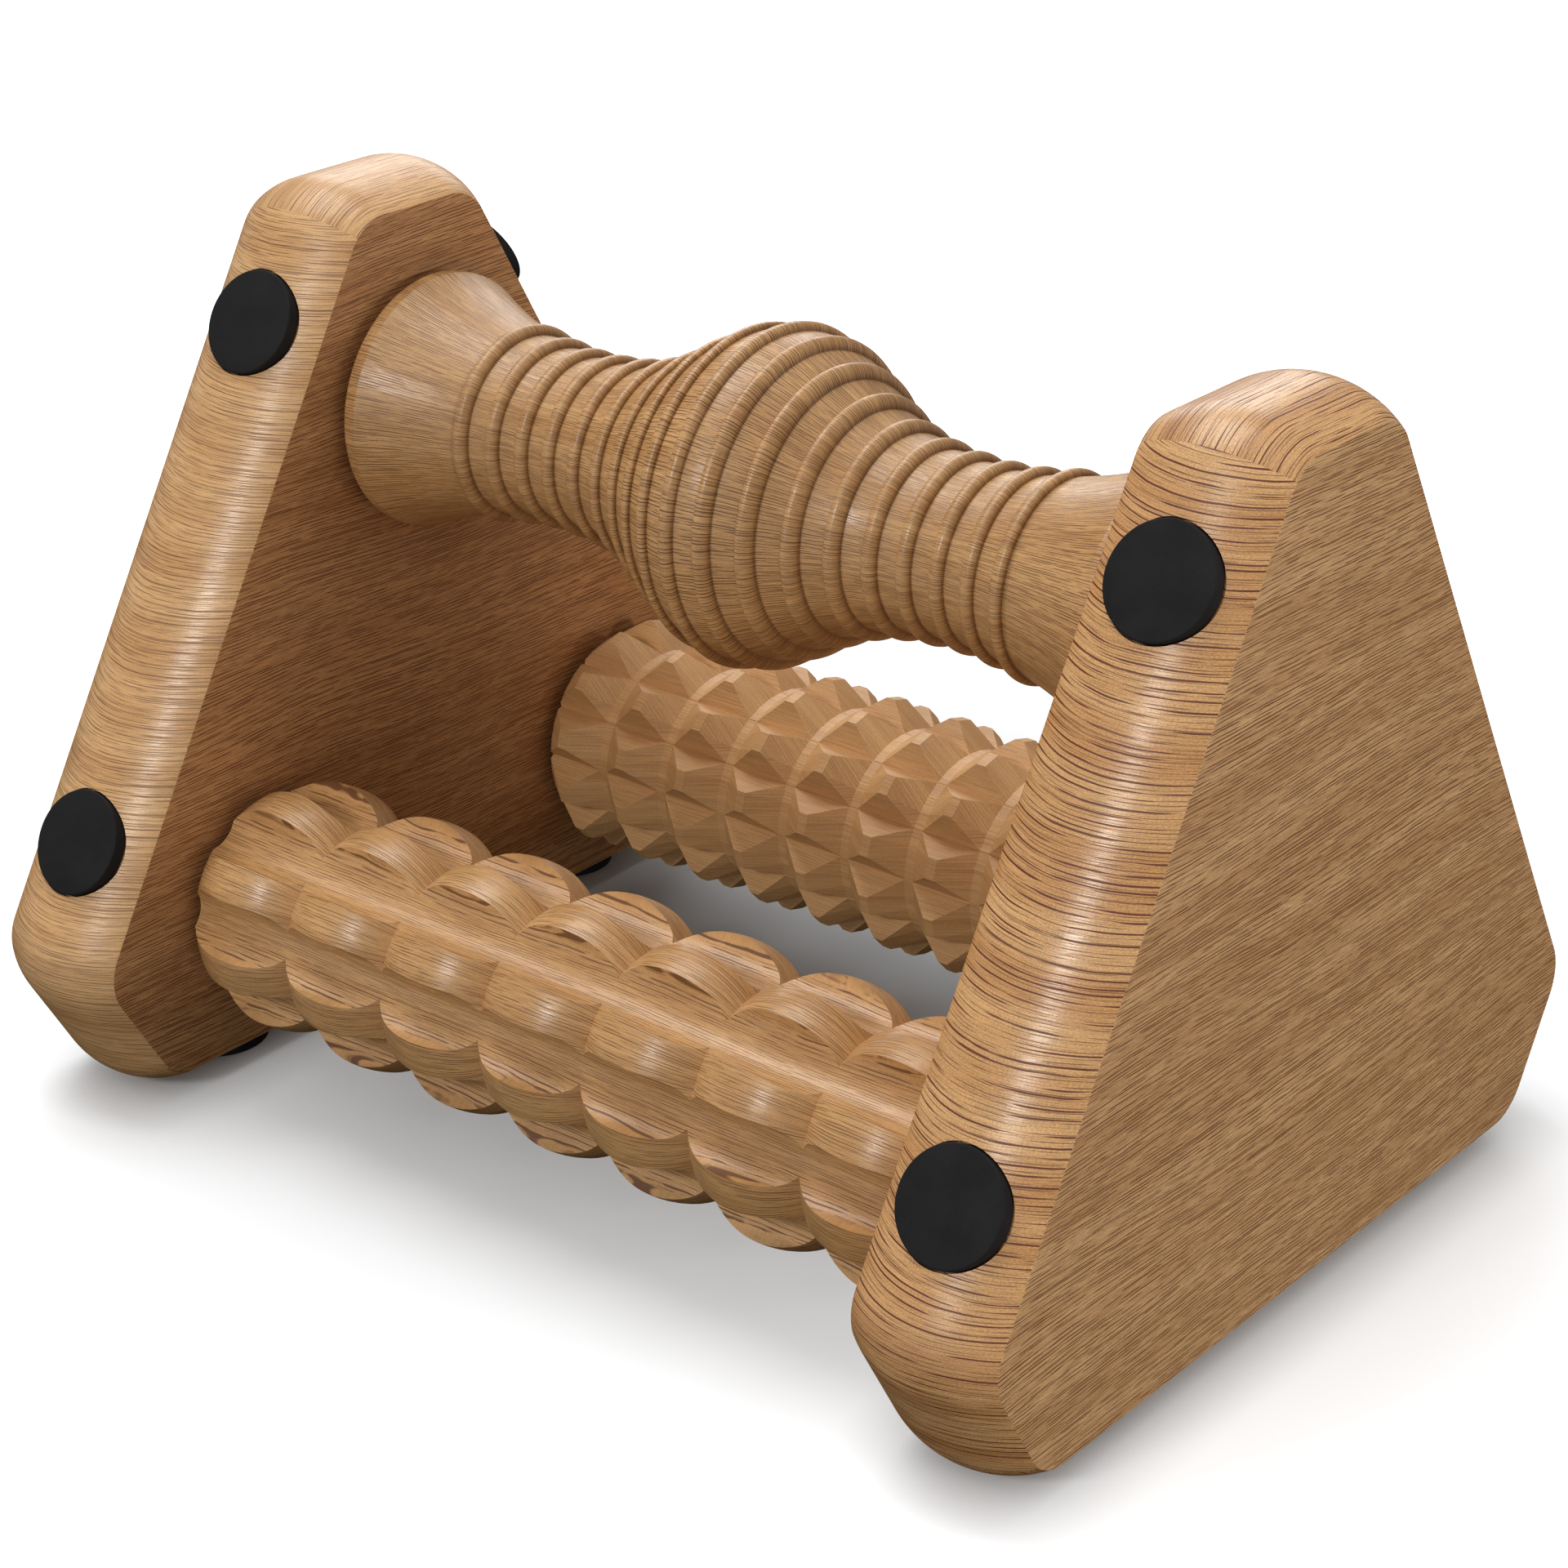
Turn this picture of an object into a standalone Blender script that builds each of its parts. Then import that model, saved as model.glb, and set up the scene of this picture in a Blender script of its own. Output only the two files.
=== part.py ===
"""Foot massage roller: two crowned oak end panels, three turned rollers on steel axles, rubber feet.

Frame: X along the rollers, -Y the side with the bead roller, +Z up.
The origin is on the floor under the middle of the object. Metres.
"""
import math

import bmesh
import bpy
from mathutils import Matrix, Vector

MM = 0.001
TOUCH_GAP = 0.3 * MM            # gap kept between pieces that touch
RUNNING_GAP = 0.1 * MM          # radial play of a bush on its axle
PART_NAME = "foot_massage_roller"

# End panels: an equilateral triangle with its corners cut off, the same on all three long sides.
PANEL_GAP = 180.0 * MM          # between the inner faces
PANEL_THICKNESS = 30.0 * MM
LONG_SIDE = 154.5 * MM          # the three sides that carry feet
SHORT_SIDE = 30.0 * MM          # the three cut corners
CORNER_RADIUS = 10.3 * MM
CROWN_HEIGHT = 5.0 * MM         # how far the rounded edge stands out in the middle of the thickness
CORNER_STEPS = 4
CROWN_STEPS = 6

# Rubber feet: two on each long side of each panel.
FOOT_RADIUS = 10.35 * MM
FOOT_PROUD = 0.5 * MM           # face of the foot above the crown
FOOT_THICKNESS = 2.7 * MM
FOOT_EDGE = 0.4 * MM
FOOT_FROM_CORNER = 24.6 * MM    # from the virtual corner of the long side
STEM_RADIUS = 3.0 * MM
STEM_LENGTH = 8.0 * MM

# Rollers and what they turn on.
AXIS_RADIUS = 59.2 * MM         # from the panel's centre to each axle
ROLLER_HALF = 87.5 * MM
AXLE_RADIUS = 4.0 * MM
AXLE_IN_PANEL = 18.0 * MM
AXLE_CHAMFER = 0.8 * MM
BORE_RADIUS = 5.0 * MM          # through the roller, clear of the axle
BUSH_RADIUS = 7.0 * MM
BUSH_LENGTH = 14.0 * MM
FLANGE_RADIUS = 9.0 * MM
FLANGE_THICKNESS = 0.9 * MM
WASHER_RADIUS = 8.5 * MM

# Top roller: smooth waist and belly with small beads turned on it.
TOP_WAIST = 16.0 * MM
TOP_BELLY = 15.2 * MM           # added to the waist in the middle
TOP_BELLY_WIDTH = 21.6 * MM
TOP_FLARE = 9.5 * MM            # added to the waist at the ends
TOP_FLARE_START = 45.0 * MM
TOP_RIM_WIDTH = 2.0 * MM        # short straight rim at each end
TOP_CHAMFER = 1.0 * MM
RING_COUNT = 19
RING_PITCH = 7.0 * MM
RING_WIDTH = 3.0 * MM
RING_HEIGHT = 1.5 * MM

# Front roller: a row of barrel beads with round flutes cut along it.
BEAD_COUNT = 7
BEAD_PITCH = 25.2 * MM
BEAD_RADIUS = 24.9 * MM
BEAD_VALLEY = 19.6 * MM
FLUTE_COUNT = 8
FLUTE_RADIUS = 6.0 * MM
FLUTE_CENTRE = 24.85 * MM       # distance of a flute cutter's centre from the roller's axis
FLUTE_TURN = math.radians(147.6)    # direction of one rib, measured from +Y about +X

# Rear roller: rings with flat tops, split into studs by V grooves.
STUD_RINGS = 11
STUD_PITCH = 16.27 * MM
STUDS_AROUND = 12
STUD_RADIUS = 25.0 * MM
STUD_VALLEY = 20.4 * MM
STUD_LAND = 2.1 * MM            # flat top of a ring, along the roller
STUD_FLOOR = 2.1 * MM           # flat floor between two rings
STUD_TOP_ANGLE = math.radians(10.1)     # half the opening of a V groove
GROOVE_BELOW_FLOOR = 0.15 * MM      # the V grooves run this far under the floor between the rings
STUD_TURN = math.radians(148.8)     # direction of one groove, measured from +Y about +X

# How finely the round pieces are faceted.
ROUND_STEPS = 20
SMALL_STEPS = 14
BEAD_STEPS = 5                  # facets along one barrel bead
FLUTE_STEPS = 16                # facets around a flute's cutter
SHARP_ANGLE = math.radians(32)

INNER_FACE = PANEL_GAP / 2
CREASE_HEIGHT = CROWN_HEIGHT + FOOT_PROUD       # flat faces' bottom edge above the floor
INRADIUS = (LONG_SIDE + 2 * SHORT_SIDE) / (2 * math.sqrt(3))
CENTRE_HEIGHT = INRADIUS + CREASE_HEIGHT
# Directions from the panel's centre, measured from +Y about +X.
SIDE_ANGLES = {"bottom": math.radians(-90), "front": math.radians(150), "rear": math.radians(30)}
AXLE_ANGLES = {"top": math.radians(90), "front": math.radians(210), "rear": math.radians(-30)}


def new_collection(name, parent):
    group = bpy.data.collections.new(name)
    parent.children.link(group)
    return group


def clear_scene():
    for item in list(bpy.data.objects):
        bpy.data.objects.remove(item, do_unlink=True)
    for group in list(bpy.data.collections):
        bpy.data.collections.remove(group)


def material(name, colour, roughness, metallic=0.0):
    made = bpy.data.materials.new(name)
    made.use_nodes = True
    shader = made.node_tree.nodes["Principled BSDF"]
    shader.inputs["Base Color"].default_value = (*colour, 1.0)
    shader.inputs["Roughness"].default_value = roughness
    shader.inputs["Metallic"].default_value = metallic
    return made


def mesh_object(name, shape, surface, group):
    mesh = bpy.data.meshes.new(name)
    shape.to_mesh(mesh)
    shape.free()
    if surface:
        mesh.materials.append(surface)
    thing = bpy.data.objects.new(name, mesh)
    group.objects.link(thing)
    return thing


def add_screw(thing, steps):
    spin = thing.modifiers.new("turn", "SCREW")
    spin.axis = "Z"
    spin.angle = 2 * math.pi
    spin.steps = steps
    spin.render_steps = steps
    spin.use_merge_vertices = True
    spin.merge_threshold = 0.01 * MM


def turned(name, profile, steps, surface, group):
    """A closed turned piece about its own Z.

    The profile lists (height, radius) from the top down the outer side. One that starts off the
    axis goes on up its bore, and is closed there.
    """
    shape = bmesh.new()
    points = [shape.verts.new((radius, 0.0, height)) for height, radius in profile]
    for first, second in zip(points, points[1:]):
        shape.edges.new((first, second))
    if profile[0][1] > 0.0:
        shape.edges.new((points[-1], points[0]))
    thing = mesh_object(name, shape, surface, group)
    add_screw(thing, steps)
    return thing


def along_x(thing, centre, turn=0.0):
    """Stand a turned piece on an axis along X, with its local X pointing down and then turned."""
    to_x = Matrix.Rotation(math.pi / 2, 4, "Y")
    thing.matrix_world = Matrix.Translation(centre) @ Matrix.Rotation(turn, 4, "X") @ to_x
    return thing


def along(thing, origin, direction):
    turn = direction.to_track_quat("Z", "Y").to_matrix().to_4x4()
    thing.matrix_world = Matrix.Translation(origin) @ turn
    return thing


def cut_with(thing, cutters):
    """Cut a piece with every object of a collection."""
    for cutter in cutters.objects:
        cutter.hide_render = True
        cutter.display_type = "WIRE"
    boolean = thing.modifiers.new("cut", "BOOLEAN")
    boolean.operation = "DIFFERENCE"
    boolean.solver = "EXACT"
    boolean.operand_type = "COLLECTION"
    boolean.collection = cutters


def finish(group):
    """Turn each piece's modifiers into its mesh, smooth over round surfaces and sharp at edges."""
    bpy.context.view_layer.update()
    depsgraph = bpy.context.evaluated_depsgraph_get()
    finished = {}
    for thing in group.objects:
        mesh = bpy.data.meshes.new_from_object(thing.evaluated_get(depsgraph))
        mesh.shade_smooth()
        mesh.set_sharp_from_angle(angle=SHARP_ANGLE)
        finished[thing] = mesh
    for thing, mesh in finished.items():
        thing.modifiers.clear()
        thing.data = mesh
        mesh.name = thing.name


def toward(angle):
    """Unit direction in the YZ plane, measured from +Y about +X."""
    return Vector((0.0, math.cos(angle), math.sin(angle)))


def centre_at(x):
    return Vector((x, 0.0, CENTRE_HEIGHT))


def axle_point(place, x=0.0):
    return centre_at(x) + toward(AXLE_ANGLES[place]) * AXIS_RADIUS


def foot_point(side, place, along_side):
    """Middle of a foot's outer face. along_side is -1 or 1, the two feet of one long side."""
    outward = toward(SIDE_ANGLES[place])
    tangent = toward(SIDE_ANGLES[place] + math.pi / 2)
    middle = centre_at(side * (INNER_FACE + PANEL_THICKNESS / 2))
    reach = INRADIUS + CROWN_HEIGHT + FOOT_PROUD
    return middle + outward * reach + tangent * (along_side * (LONG_SIDE / 2 - FOOT_FROM_CORNER))


# ---------------------------------------------------------------- end panels

def crown_at(across):
    """How far the panel's edge stands out at a distance across its thickness from the middle."""
    radius = (PANEL_THICKNESS ** 2 / 4 + CROWN_HEIGHT ** 2) / (2 * CROWN_HEIGHT)
    return math.sqrt(radius ** 2 - across ** 2) - (radius - CROWN_HEIGHT)


def corner_centre(first, second):
    """Centre of the fillet between two sides, each (outward angle, distance)."""
    turn = second[0] - first[0]
    near = first[1] - CORNER_RADIUS
    far = second[1] - CORNER_RADIUS
    side = (far - near * math.cos(turn)) / math.sin(turn)
    return toward(first[0]) * near + toward(first[0] + math.pi / 2) * side


def outline(offset):
    """The panel's filleted hexagon in the YZ plane about its centre, grown by offset."""
    long_distance = INRADIUS
    short_distance = (2 * LONG_SIDE + SHORT_SIDE) / (2 * math.sqrt(3))
    sides = []
    for count in range(6):
        distance = long_distance if count % 2 == 0 else short_distance
        sides.append((math.radians(30 + 60 * count), distance))
    points = []
    for count in range(6):
        first = sides[count]
        second = (first[0] + math.radians(60), sides[(count + 1) % 6][1])
        centre = corner_centre(first, second)
        for step in range(CORNER_STEPS + 1):
            angle = first[0] + (second[0] - first[0]) * step / CORNER_STEPS
            points.append(centre + toward(angle) * (CORNER_RADIUS + offset))
    return points


def panel_blank(name, side, surface, group):
    """A loft of the outline across the thickness, swelling with the crown."""
    shape = bmesh.new()
    rings = []
    for step in range(CROWN_STEPS + 1):
        across = PANEL_THICKNESS * (step / CROWN_STEPS - 0.5)
        ring = [shape.verts.new(point + Vector((across, 0.0, 0.0))) for point in outline(crown_at(across))]
        rings.append(ring)
    for lower, upper in zip(rings, rings[1:]):
        for count in range(len(lower)):
            after = (count + 1) % len(lower)
            shape.faces.new((lower[count], lower[after], upper[after], upper[count]))
    shape.faces.new(rings[0])
    shape.faces.new(rings[-1])
    bmesh.ops.recalc_face_normals(shape, faces=shape.faces[:])
    thing = mesh_object(name, shape, surface, group)
    thing.location = centre_at(side * (INNER_FACE + PANEL_THICKNESS / 2))
    return thing


def foot_seat(name, cutters):
    """Cutter of a foot's flat seat and its stem's hole, with Z out of the panel from the foot's face."""
    seat_radius = FOOT_RADIUS + TOUCH_GAP
    seat_depth = FOOT_THICKNESS + TOUCH_GAP
    hole_radius = STEM_RADIUS + TOUCH_GAP
    hole_depth = FOOT_THICKNESS + STEM_LENGTH + TOUCH_GAP
    above = 2 * CROWN_HEIGHT
    profile = [(above, 0.0), (above, seat_radius), (-seat_depth, seat_radius)]
    profile += [(-seat_depth, hole_radius), (-hole_depth, hole_radius), (-hole_depth, 0.0)]
    return turned(name, profile, ROUND_STEPS, None, cutters)


def axle_hole(name, cutters):
    """Cutter of a blind hole, about its middle."""
    half = AXLE_IN_PANEL + TOUCH_GAP
    radius = AXLE_RADIUS + TOUCH_GAP
    profile = [(half, 0.0), (half, radius), (-half, radius), (-half, 0.0)]
    return turned(name, profile, ROUND_STEPS, None, cutters)


def make_panel(name, side, surface, group, cutter_group):
    panel = panel_blank(name, side, surface, group)
    cutters = new_collection(name + "_cutters", cutter_group)
    for place, angle in SIDE_ANGLES.items():
        for along_side in (-1, 1):
            seat = foot_seat(f"{name}_seat_{place}_{along_side}", cutters)
            along(seat, foot_point(side, place, along_side), toward(angle))
    for place in AXLE_ANGLES:
        hole = axle_hole(f"{name}_hole_{place}", cutters)
        along_x(hole, axle_point(place, side * INNER_FACE))
    cut_with(panel, cutters)
    return panel


# ---------------------------------------------------------------- rubber feet

def make_feet(side_name, side, surface, group):
    places = {"bottom": {-1: "front", 1: "rear"}, "front": {-1: "upper", 1: "lower"},
              "rear": {-1: "lower", 1: "upper"}}
    profile = [(0.0, 0.0), (0.0, FOOT_RADIUS - FOOT_EDGE), (-FOOT_EDGE, FOOT_RADIUS),
               (-FOOT_THICKNESS, FOOT_RADIUS), (-FOOT_THICKNESS, STEM_RADIUS),
               (-FOOT_THICKNESS - STEM_LENGTH, STEM_RADIUS), (-FOOT_THICKNESS - STEM_LENGTH, 0.0)]
    for place, angle in SIDE_ANGLES.items():
        for along_side, word in places[place].items():
            foot = turned(f"foot_{side_name}_{place}_{word}", profile, ROUND_STEPS, surface, group)
            along(foot, foot_point(side, place, along_side), toward(angle))


# ---------------------------------------------------------------- rollers

def roller_bore():
    """The bore's profile, from the -X end to the +X end: a seat for a bush, a bore, another seat."""
    seat_radius = BUSH_RADIUS + TOUCH_GAP
    seat_end = ROLLER_HALF - BUSH_LENGTH - TOUCH_GAP
    return [(-ROLLER_HALF, seat_radius), (-seat_end, seat_radius), (-seat_end, BORE_RADIUS),
            (seat_end, BORE_RADIUS), (seat_end, seat_radius), (ROLLER_HALF, seat_radius)]


def top_radius(along_roller):
    """Radius of the top roller without its beads: a waist, a belly in the middle, flared ends."""
    distance = abs(along_roller)
    belly = TOP_BELLY * math.exp(-(distance / TOP_BELLY_WIDTH) ** 2)
    flare_end = ROLLER_HALF - TOP_CHAMFER - TOP_RIM_WIDTH
    flare = TOP_FLARE * (max(0.0, distance - TOP_FLARE_START) / (flare_end - TOP_FLARE_START)) ** 2
    return TOP_WAIST + belly + min(flare, TOP_FLARE)


def top_profile():
    """Down the +X half: chamfer, rim, flare, then a small round bead every pitch."""
    rim_radius = top_radius(ROLLER_HALF)
    rim_end = ROLLER_HALF - TOP_CHAMFER
    half = [(ROLLER_HALF, rim_radius - TOP_CHAMFER), (rim_end, rim_radius), (rim_end - TOP_RIM_WIDTH, rim_radius)]
    last_ring = (RING_COUNT - 1) / 2 * RING_PITCH + RING_WIDTH / 2
    flare_length = rim_end - TOP_RIM_WIDTH - last_ring
    flare_steps = 4
    for step in range(1, flare_steps):
        place = rim_end - TOP_RIM_WIDTH - flare_length * step / flare_steps
        half.append((place, top_radius(place)))
    points = half
    for count in range(RING_COUNT):
        middle = ((RING_COUNT - 1) / 2 - count) * RING_PITCH
        for fraction, rise in ((0.5, 0.0), (0.0, 1.0), (-0.5, 0.0)):
            place = middle + RING_WIDTH * fraction
            points.append((place, top_radius(place) + RING_HEIGHT * rise))
    other_end = [(-place, radius) for place, radius in reversed(half[:flare_steps + 2])]
    return points + other_end


def bead_profile():
    """A row of barrel beads, each a circular arc between two valleys, cut off at the roller's ends."""
    rise = BEAD_RADIUS - BEAD_VALLEY
    arc_radius = ((BEAD_PITCH / 2) ** 2 + rise ** 2) / (2 * rise)
    points = []
    for count in range(BEAD_COUNT):
        middle = ((BEAD_COUNT - 1) / 2 - count) * BEAD_PITCH
        start = min(BEAD_PITCH / 2, ROLLER_HALF - middle)
        end = max(-BEAD_PITCH / 2, -ROLLER_HALF - middle)
        for step in range(BEAD_STEPS + 1):
            if step == 0 and count > 0:
                continue
            offset = start + (end - start) * step / BEAD_STEPS
            points.append((middle + offset, BEAD_RADIUS - arc_radius + math.sqrt(arc_radius ** 2 - offset ** 2)))
    return points


def stud_profile():
    """Rings with a flat top, sloping flanks and a flat floor between them, cut off at the ends."""
    points = []
    for count in range(STUD_RINGS):
        middle = ((STUD_RINGS - 1) / 2 - count) * STUD_PITCH
        foot = (STUD_PITCH - STUD_FLOOR) / 2
        points += [(middle + foot, STUD_VALLEY), (middle + STUD_LAND / 2, STUD_RADIUS),
                   (middle - STUD_LAND / 2, STUD_RADIUS), (middle - foot, STUD_VALLEY)]
    slope = (STUD_RADIUS - STUD_VALLEY) / ((STUD_PITCH - STUD_FLOOR - STUD_LAND) / 2)
    end_radius = STUD_VALLEY + slope * max(0.0, points[0][0] - ROLLER_HALF)
    return [(ROLLER_HALF, end_radius)] + points[1:-1] + [(-ROLLER_HALF, end_radius)]


def flute_cutters(name, cutter_group):
    """Round-nosed cutters along the front roller, halfway between its ribs."""
    cutters = new_collection(name, cutter_group)
    pitch = 2 * math.pi / FLUTE_COUNT
    reach = 1.2 * ROLLER_HALF
    profile = [(reach, 0.0), (reach, FLUTE_RADIUS), (-reach, FLUTE_RADIUS), (-reach, 0.0)]
    for count in range(FLUTE_COUNT):
        angle = FLUTE_TURN + pitch * (count + 0.5)
        cutter = turned(f"{name}_{count}", profile, FLUTE_STEPS, None, cutters)
        along_x(cutter, axle_point("front") + toward(angle) * FLUTE_CENTRE, angle)
    return cutters


def groove_cutters(name, cutter_group):
    """V-shaped bars along the rear roller, whose lower edges lie at the floor between the rings."""
    cutters = new_collection(name, cutter_group)
    edge = Vector((STUD_RADIUS * math.cos(STUD_TOP_ANGLE), STUD_RADIUS * math.sin(STUD_TOP_ANGLE)))
    bottom = STUD_VALLEY - GROOVE_BELOW_FLOOR
    depth = edge.x - bottom
    over = 2.0
    far = bottom + depth * over
    wide = edge.y * over
    reach = 1.2 * ROLLER_HALF
    for count in range(STUDS_AROUND):
        angle = STUD_TURN + 2 * math.pi * count / STUDS_AROUND
        shape = bmesh.new()
        ends = []
        for x in (-reach, reach):
            corners = []
            for out, side in ((bottom, 0.0), (far, wide), (far, -wide)):
                place = toward(angle) * out + toward(angle + math.pi / 2) * side
                corners.append(shape.verts.new(place + Vector((x, 0.0, 0.0))))
            ends.append(corners)
        shape.faces.new(ends[0])
        shape.faces.new(ends[1])
        for first in range(3):
            second = (first + 1) % 3
            shape.faces.new((ends[0][first], ends[0][second], ends[1][second], ends[1][first]))
        bmesh.ops.recalc_face_normals(shape, faces=shape.faces[:])
        cutter = mesh_object(f"{name}_{count}", shape, None, cutters)
        cutter.location = axle_point("rear")
    return cutters


def make_rollers(wood, group, cutter_group):
    top = turned("top_roller", top_profile() + roller_bore(), ROUND_STEPS, wood, group)
    along_x(top, axle_point("top"))
    front = turned("front_roller", bead_profile() + roller_bore(), 3 * FLUTE_COUNT, wood, group)
    along_x(front, axle_point("front"), FLUTE_TURN)
    cut_with(front, flute_cutters("flute", cutter_group))
    rear = turned("rear_roller", stud_profile() + roller_bore(), 3 * STUDS_AROUND, wood, group)
    along_x(rear, axle_point("rear"), STUD_TURN)
    cut_with(rear, groove_cutters("groove", cutter_group))


# ---------------------------------------------------------------- axles, bushes and washers

def make_axle(place, steel, group):
    half = INNER_FACE + AXLE_IN_PANEL
    tip = AXLE_RADIUS - AXLE_CHAMFER
    profile = [(half, 0.0), (half, tip), (half - AXLE_CHAMFER, AXLE_RADIUS)]
    profile += [(-height, radius) for height, radius in reversed(profile)]
    axle = turned(f"{place}_axle", profile, SMALL_STEPS, steel, group)
    along_x(axle, axle_point(place))


def make_bush(place, side_name, side, plastic, group):
    """A flanged sleeve in the roller's end. Its Z points out of the roller."""
    flange_top = ROLLER_HALF + TOUCH_GAP + FLANGE_THICKNESS
    flange_foot = ROLLER_HALF + TOUCH_GAP
    inner_end = ROLLER_HALF - BUSH_LENGTH
    bore = AXLE_RADIUS + RUNNING_GAP
    profile = [(flange_top, FLANGE_RADIUS), (flange_foot, FLANGE_RADIUS), (flange_foot, BUSH_RADIUS),
               (inner_end, BUSH_RADIUS), (inner_end, bore), (flange_top, bore)]
    bush = turned(f"{place}_bush_{side_name}", profile, SMALL_STEPS, plastic, group)
    along(bush, axle_point(place), Vector((side, 0.0, 0.0)))


def make_washer(place, side_name, side, plastic, group):
    outer_face = INNER_FACE - TOUCH_GAP
    inner_face = ROLLER_HALF + FLANGE_THICKNESS + 2 * TOUCH_GAP
    bore = AXLE_RADIUS + RUNNING_GAP
    profile = [(outer_face, WASHER_RADIUS), (inner_face, WASHER_RADIUS), (inner_face, bore), (outer_face, bore)]
    washer = turned(f"{place}_washer_{side_name}", profile, SMALL_STEPS, plastic, group)
    along(washer, axle_point(place), Vector((side, 0.0, 0.0)))


def main():
    clear_scene()
    scene_group = bpy.context.scene.collection
    parts = new_collection(PART_NAME, scene_group)
    cutters = new_collection("cutters", scene_group)
    oak = material("oak", (0.46, 0.27, 0.13), 0.45)
    rubber = material("black_rubber", (0.02, 0.02, 0.02), 0.6)
    steel = material("steel", (0.6, 0.6, 0.6), 0.3, 1.0)
    plastic = material("black_plastic", (0.03, 0.03, 0.03), 0.5)
    for side_name, side in (("left", -1), ("right", 1)):
        make_panel(side_name + "_panel", side, oak, parts, cutters)
        make_feet(side_name, side, rubber, parts)
    make_rollers(oak, parts, cutters)
    for place in AXLE_ANGLES:
        make_axle(place, steel, parts)
        for side_name, side in (("left", -1), ("right", 1)):
            make_bush(place, side_name, side, plastic, parts)
            make_washer(place, side_name, side, steel, parts)
    finish(parts)


main()
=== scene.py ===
"""Foot massage roller: the finely modelled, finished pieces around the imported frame.

Frame: X along the rollers, -Y the side with the bead roller, +Z up. Metres.
"""
import math

import bmesh
import bpy
import numpy as np
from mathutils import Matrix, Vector


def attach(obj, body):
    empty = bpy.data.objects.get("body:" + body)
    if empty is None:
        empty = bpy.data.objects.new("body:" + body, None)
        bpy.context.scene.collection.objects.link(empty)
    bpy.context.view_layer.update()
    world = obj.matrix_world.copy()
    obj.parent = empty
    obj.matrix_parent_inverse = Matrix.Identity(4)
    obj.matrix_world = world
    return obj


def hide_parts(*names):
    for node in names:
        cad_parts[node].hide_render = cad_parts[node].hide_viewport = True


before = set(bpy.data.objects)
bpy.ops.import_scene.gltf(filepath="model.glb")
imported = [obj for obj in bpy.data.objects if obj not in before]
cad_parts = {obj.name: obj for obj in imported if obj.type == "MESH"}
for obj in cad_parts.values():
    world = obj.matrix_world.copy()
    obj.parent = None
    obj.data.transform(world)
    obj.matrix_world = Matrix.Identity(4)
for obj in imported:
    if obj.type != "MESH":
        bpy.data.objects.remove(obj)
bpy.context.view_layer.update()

MM = 0.001
TOUCH_GAP = 0.3 * MM
RUNNING_GAP = 0.1 * MM

# End panels: an equilateral triangle with its corners cut off and a crowned edge.
PANEL_GAP = 180.0 * MM
PANEL_THICKNESS = 30.0 * MM
LONG_SIDE = 154.5 * MM
SHORT_SIDE = 30.0 * MM
CORNER_RADIUS = 10.3 * MM
CROWN_HEIGHT = 5.0 * MM
EDGE_ROUND = 0.15 * MM          # softening where the crown meets a flat face
CORNER_STEPS = 16
CROWN_STEPS = 32
EDGE_STEPS = 2

# Rubber feet.
FOOT_RADIUS = 10.35 * MM
FOOT_PROUD = 0.5 * MM
FOOT_THICKNESS = 2.7 * MM
FOOT_EDGE = 0.4 * MM
FOOT_EDGE_STEPS = 4
FOOT_FROM_CORNER = 24.6 * MM
STEM_RADIUS = 3.0 * MM
STEM_LENGTH = 8.0 * MM

# Rollers and what they turn on.
AXIS_RADIUS = 59.2 * MM
ROLLER_HALF = 87.5 * MM
AXLE_RADIUS = 4.0 * MM
AXLE_IN_PANEL = 18.0 * MM
AXLE_CHAMFER = 0.8 * MM
BORE_RADIUS = 5.0 * MM
BUSH_RADIUS = 7.0 * MM
BUSH_LENGTH = 14.0 * MM
FLANGE_RADIUS = 9.0 * MM
FLANGE_THICKNESS = 0.9 * MM
WASHER_RADIUS = 8.5 * MM
SMALL_ROUND = 0.15 * MM         # softened edges of the bushes and washers

# Top roller: smooth waist and belly with small beads turned on it.
TOP_WAIST = 16.0 * MM
TOP_BELLY = 15.2 * MM
TOP_BELLY_WIDTH = 21.6 * MM
TOP_FLARE = 9.5 * MM
TOP_FLARE_START = 45.0 * MM
TOP_RIM_WIDTH = 2.0 * MM
TOP_CHAMFER = 1.0 * MM
RING_COUNT = 19
RING_PITCH = 7.0 * MM
RING_WIDTH = 3.0 * MM
RING_HEIGHT = 1.5 * MM
RING_STEPS = 12
LAND_SHARES = (0.08, 0.36, 0.64, 0.92)    # where the strip between two beads has its points
PAINTED_SHADE_REACH = 0.25 * MM       # how far the painted shade, a dark line drawn at the foot of each bead, spreads
# how dark that painted shade at the foot of a bead is at its darkest
PAINTED_SHADE_DARKNESS = 0.4
RIM_STEPS = 4
FLARE_STEPS = 16

# Front roller: barrel beads with round flutes cut along them.
BEAD_COUNT = 7
BEAD_PITCH = 25.2 * MM
BEAD_RADIUS = 24.9 * MM
BEAD_VALLEY = 19.6 * MM
BEAD_STEPS = 18
FLUTE_COUNT = 8
FLUTE_RADIUS = 6.0 * MM
FLUTE_CENTRE = 24.85 * MM
FLUTE_TURN = math.radians(147.6)
STEPS_PER_FLUTE = 18

# Rear roller: rings split into studs by V grooves.
STUD_RINGS = 11
STUD_PITCH = 16.27 * MM
STUDS_AROUND = 12
STUD_RADIUS = 25.0 * MM
STUD_VALLEY = 20.4 * MM
STUD_LAND = 2.1 * MM
STUD_FLOOR = 2.1 * MM
STUD_TOP_ANGLE = math.radians(10.1)
GROOVE_BELOW_FLOOR = 0.15 * MM
STUD_TURN = math.radians(148.8)
STEPS_PER_STUD = 3

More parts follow.
